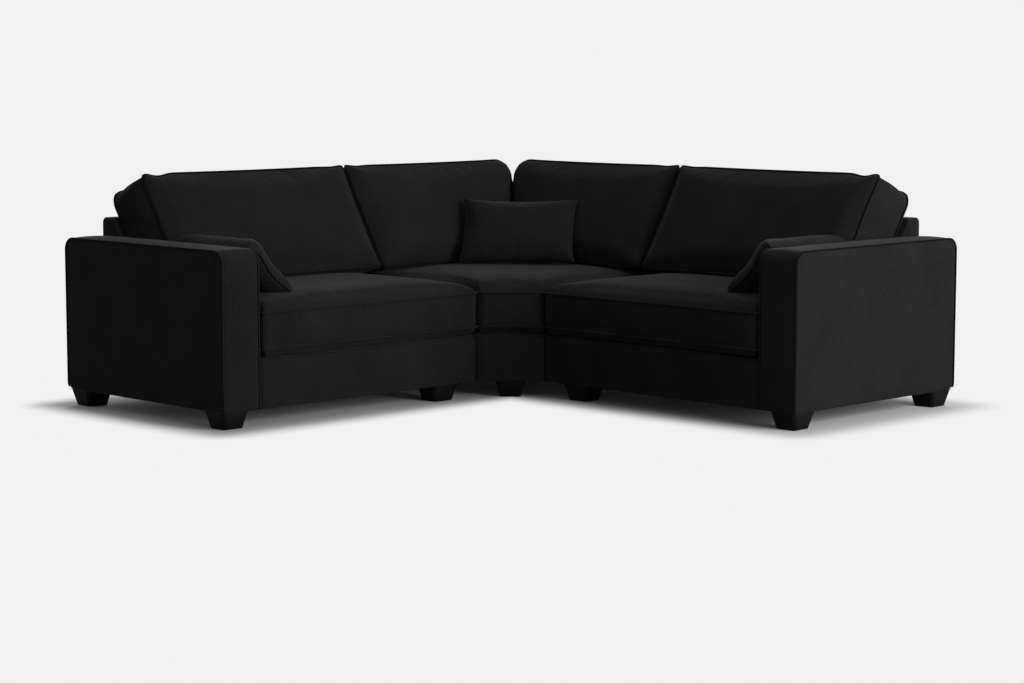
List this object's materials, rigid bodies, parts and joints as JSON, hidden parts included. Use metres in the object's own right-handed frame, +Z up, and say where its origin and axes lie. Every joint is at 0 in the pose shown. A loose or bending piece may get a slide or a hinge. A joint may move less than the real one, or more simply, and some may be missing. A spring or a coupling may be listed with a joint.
{
  "type": "corner sofa",
  "caption": "Modular L-shaped upholstered corner sofa with loose piped seat and back cushions, scatter cushions and short square feet.",
  "frame": {"origin": "on the floor, in the middle of the square that the sofa fills", "axes": "+Z up; the outer corner is at -X +Y; the left wing runs along Y at -X and the right wing along X at +Y; the open side of the L looks towards +X -Y"},
  "size_m": [2.36, 2.36, 0.8734],
  "materials": {
    "upholstery": "matte black flat weave",
    "piping": "the same black weave over cord",
    "lining": "black non-woven lining",
    "webbing": "elasticated upholstery webbing",
    "timber": "sawn softwood and plywood",
    "foot_plastic": "black moulded, satin",
    "plated_steel": "zinc plated"
  },
  "bodies": {
    "root": {"arm_cover_left": "upholstery", "arm_cover_right": "upholstery", "arm_piping_left": "piping", "arm_piping_right": "piping", "arm_frame_left": "timber", "arm_frame_right": "timber", "base_frame_left": "timber", "base_frame_right": "timber", "seat_webbing_left": "webbing", "seat_webbing_right": "webbing", "deck_cloth_left": "lining", "deck_cloth_right": "lining", "base_cover_left": "upholstery", "base_cover_right": "upholstery", "dust_cover_left": "lining", "dust_cover_right": "lining", "back_cover_left": "upholstery", "back_cover_right": "upholstery", "back_frame_left": "timber", "back_frame_right": "timber", "back_webbing_left": "webbing", "back_webbing_right": "webbing", "back_cover_corner_left": "upholstery", "back_cover_corner_right": "upholstery", "back_frame_corner_left": "timber", "back_frame_corner_right": "timber", "back_webbing_corner_left": "webbing", "back_webbing_corner_right": "webbing", "feet_left": "foot_plastic", "feet_right": "foot_plastic", "foot_blocks_left": "timber", "foot_blocks_right": "timber", "base_cover_corner": "upholstery", "base_frame_corner": "timber", "seat_webbing_corner": "webbing", "deck_cloth_corner": "lining", "dust_cover_corner": "lining", "feet_corner": "foot_plastic", "foot_blocks_corner": "timber", "foot_studs": "plated_steel", "module_hooks": "plated_steel"},
    "seat_left": {"seat_cushion_left": "upholstery", "seat_piping_left": "piping"},
    "seat_right": {"seat_cushion_right": "upholstery", "seat_piping_right": "piping"},
    "seat_corner": {"seat_cushion_corner": "upholstery", "seat_piping_corner": "piping"},
    "back_left": {"back_cushion_left": "upholstery", "back_piping_left": "piping"},
    "back_right": {"back_cushion_right": "upholstery", "back_piping_right": "piping"},
    "back_corner_left": {"back_cushion_corner_left": "upholstery", "back_piping_corner_left": "piping"},
    "back_corner_right": {"back_cushion_corner_right": "upholstery", "back_piping_corner_right": "piping"},
    "scatter_left": {"scatter_cushion_left": "upholstery"},
    "scatter_right": {"scatter_cushion_right": "upholstery"},
    "scatter_centre": {"scatter_cushion_centre": "upholstery"}
  },
  "joints": [
    {"name": "lift_seat_left", "type": "slide", "parent": "root", "child": "seat_left", "axis": [0, 0, 1], "range_m": [0, 0.45]},
    {"name": "lift_seat_right", "type": "slide", "parent": "root", "child": "seat_right", "axis": [0, 0, 1], "range_m": [0, 0.45]},
    {"name": "lift_seat_corner", "type": "slide", "parent": "root", "child": "seat_corner", "axis": [0, 0, 1], "range_m": [0, 0.45]},
    {"name": "pull_back_left", "type": "slide", "parent": "seat_left", "child": "back_left", "axis": [-0.512, 0, 0.859], "range_m": [0, 0.4]},
    {"name": "pull_back_right", "type": "slide", "parent": "seat_right", "child": "back_right", "axis": [0, 0.512, 0.859], "range_m": [0, 0.4]},
    {"name": "pull_back_corner_left", "type": "slide", "parent": "seat_corner", "child": "back_corner_left", "axis": [-0.512, 0, 0.859], "range_m": [0, 0.4]},
    {"name": "pull_back_corner_right", "type": "slide", "parent": "seat_corner", "child": "back_corner_right", "axis": [0, 0.512, 0.859], "range_m": [0, 0.4]},
    {"name": "lift_scatter_left", "type": "slide", "parent": "seat_left", "child": "scatter_left", "axis": [0, 0, 1], "range_m": [0, 0.35]},
    {"name": "lift_scatter_right", "type": "slide", "parent": "seat_right", "child": "scatter_right", "axis": [0, 0, 1], "range_m": [0, 0.35]},
    {"name": "lift_scatter_centre", "type": "slide", "parent": "seat_corner", "child": "scatter_centre", "axis": [0, 0, 1], "range_m": [0, 0.35]}
  ]
}
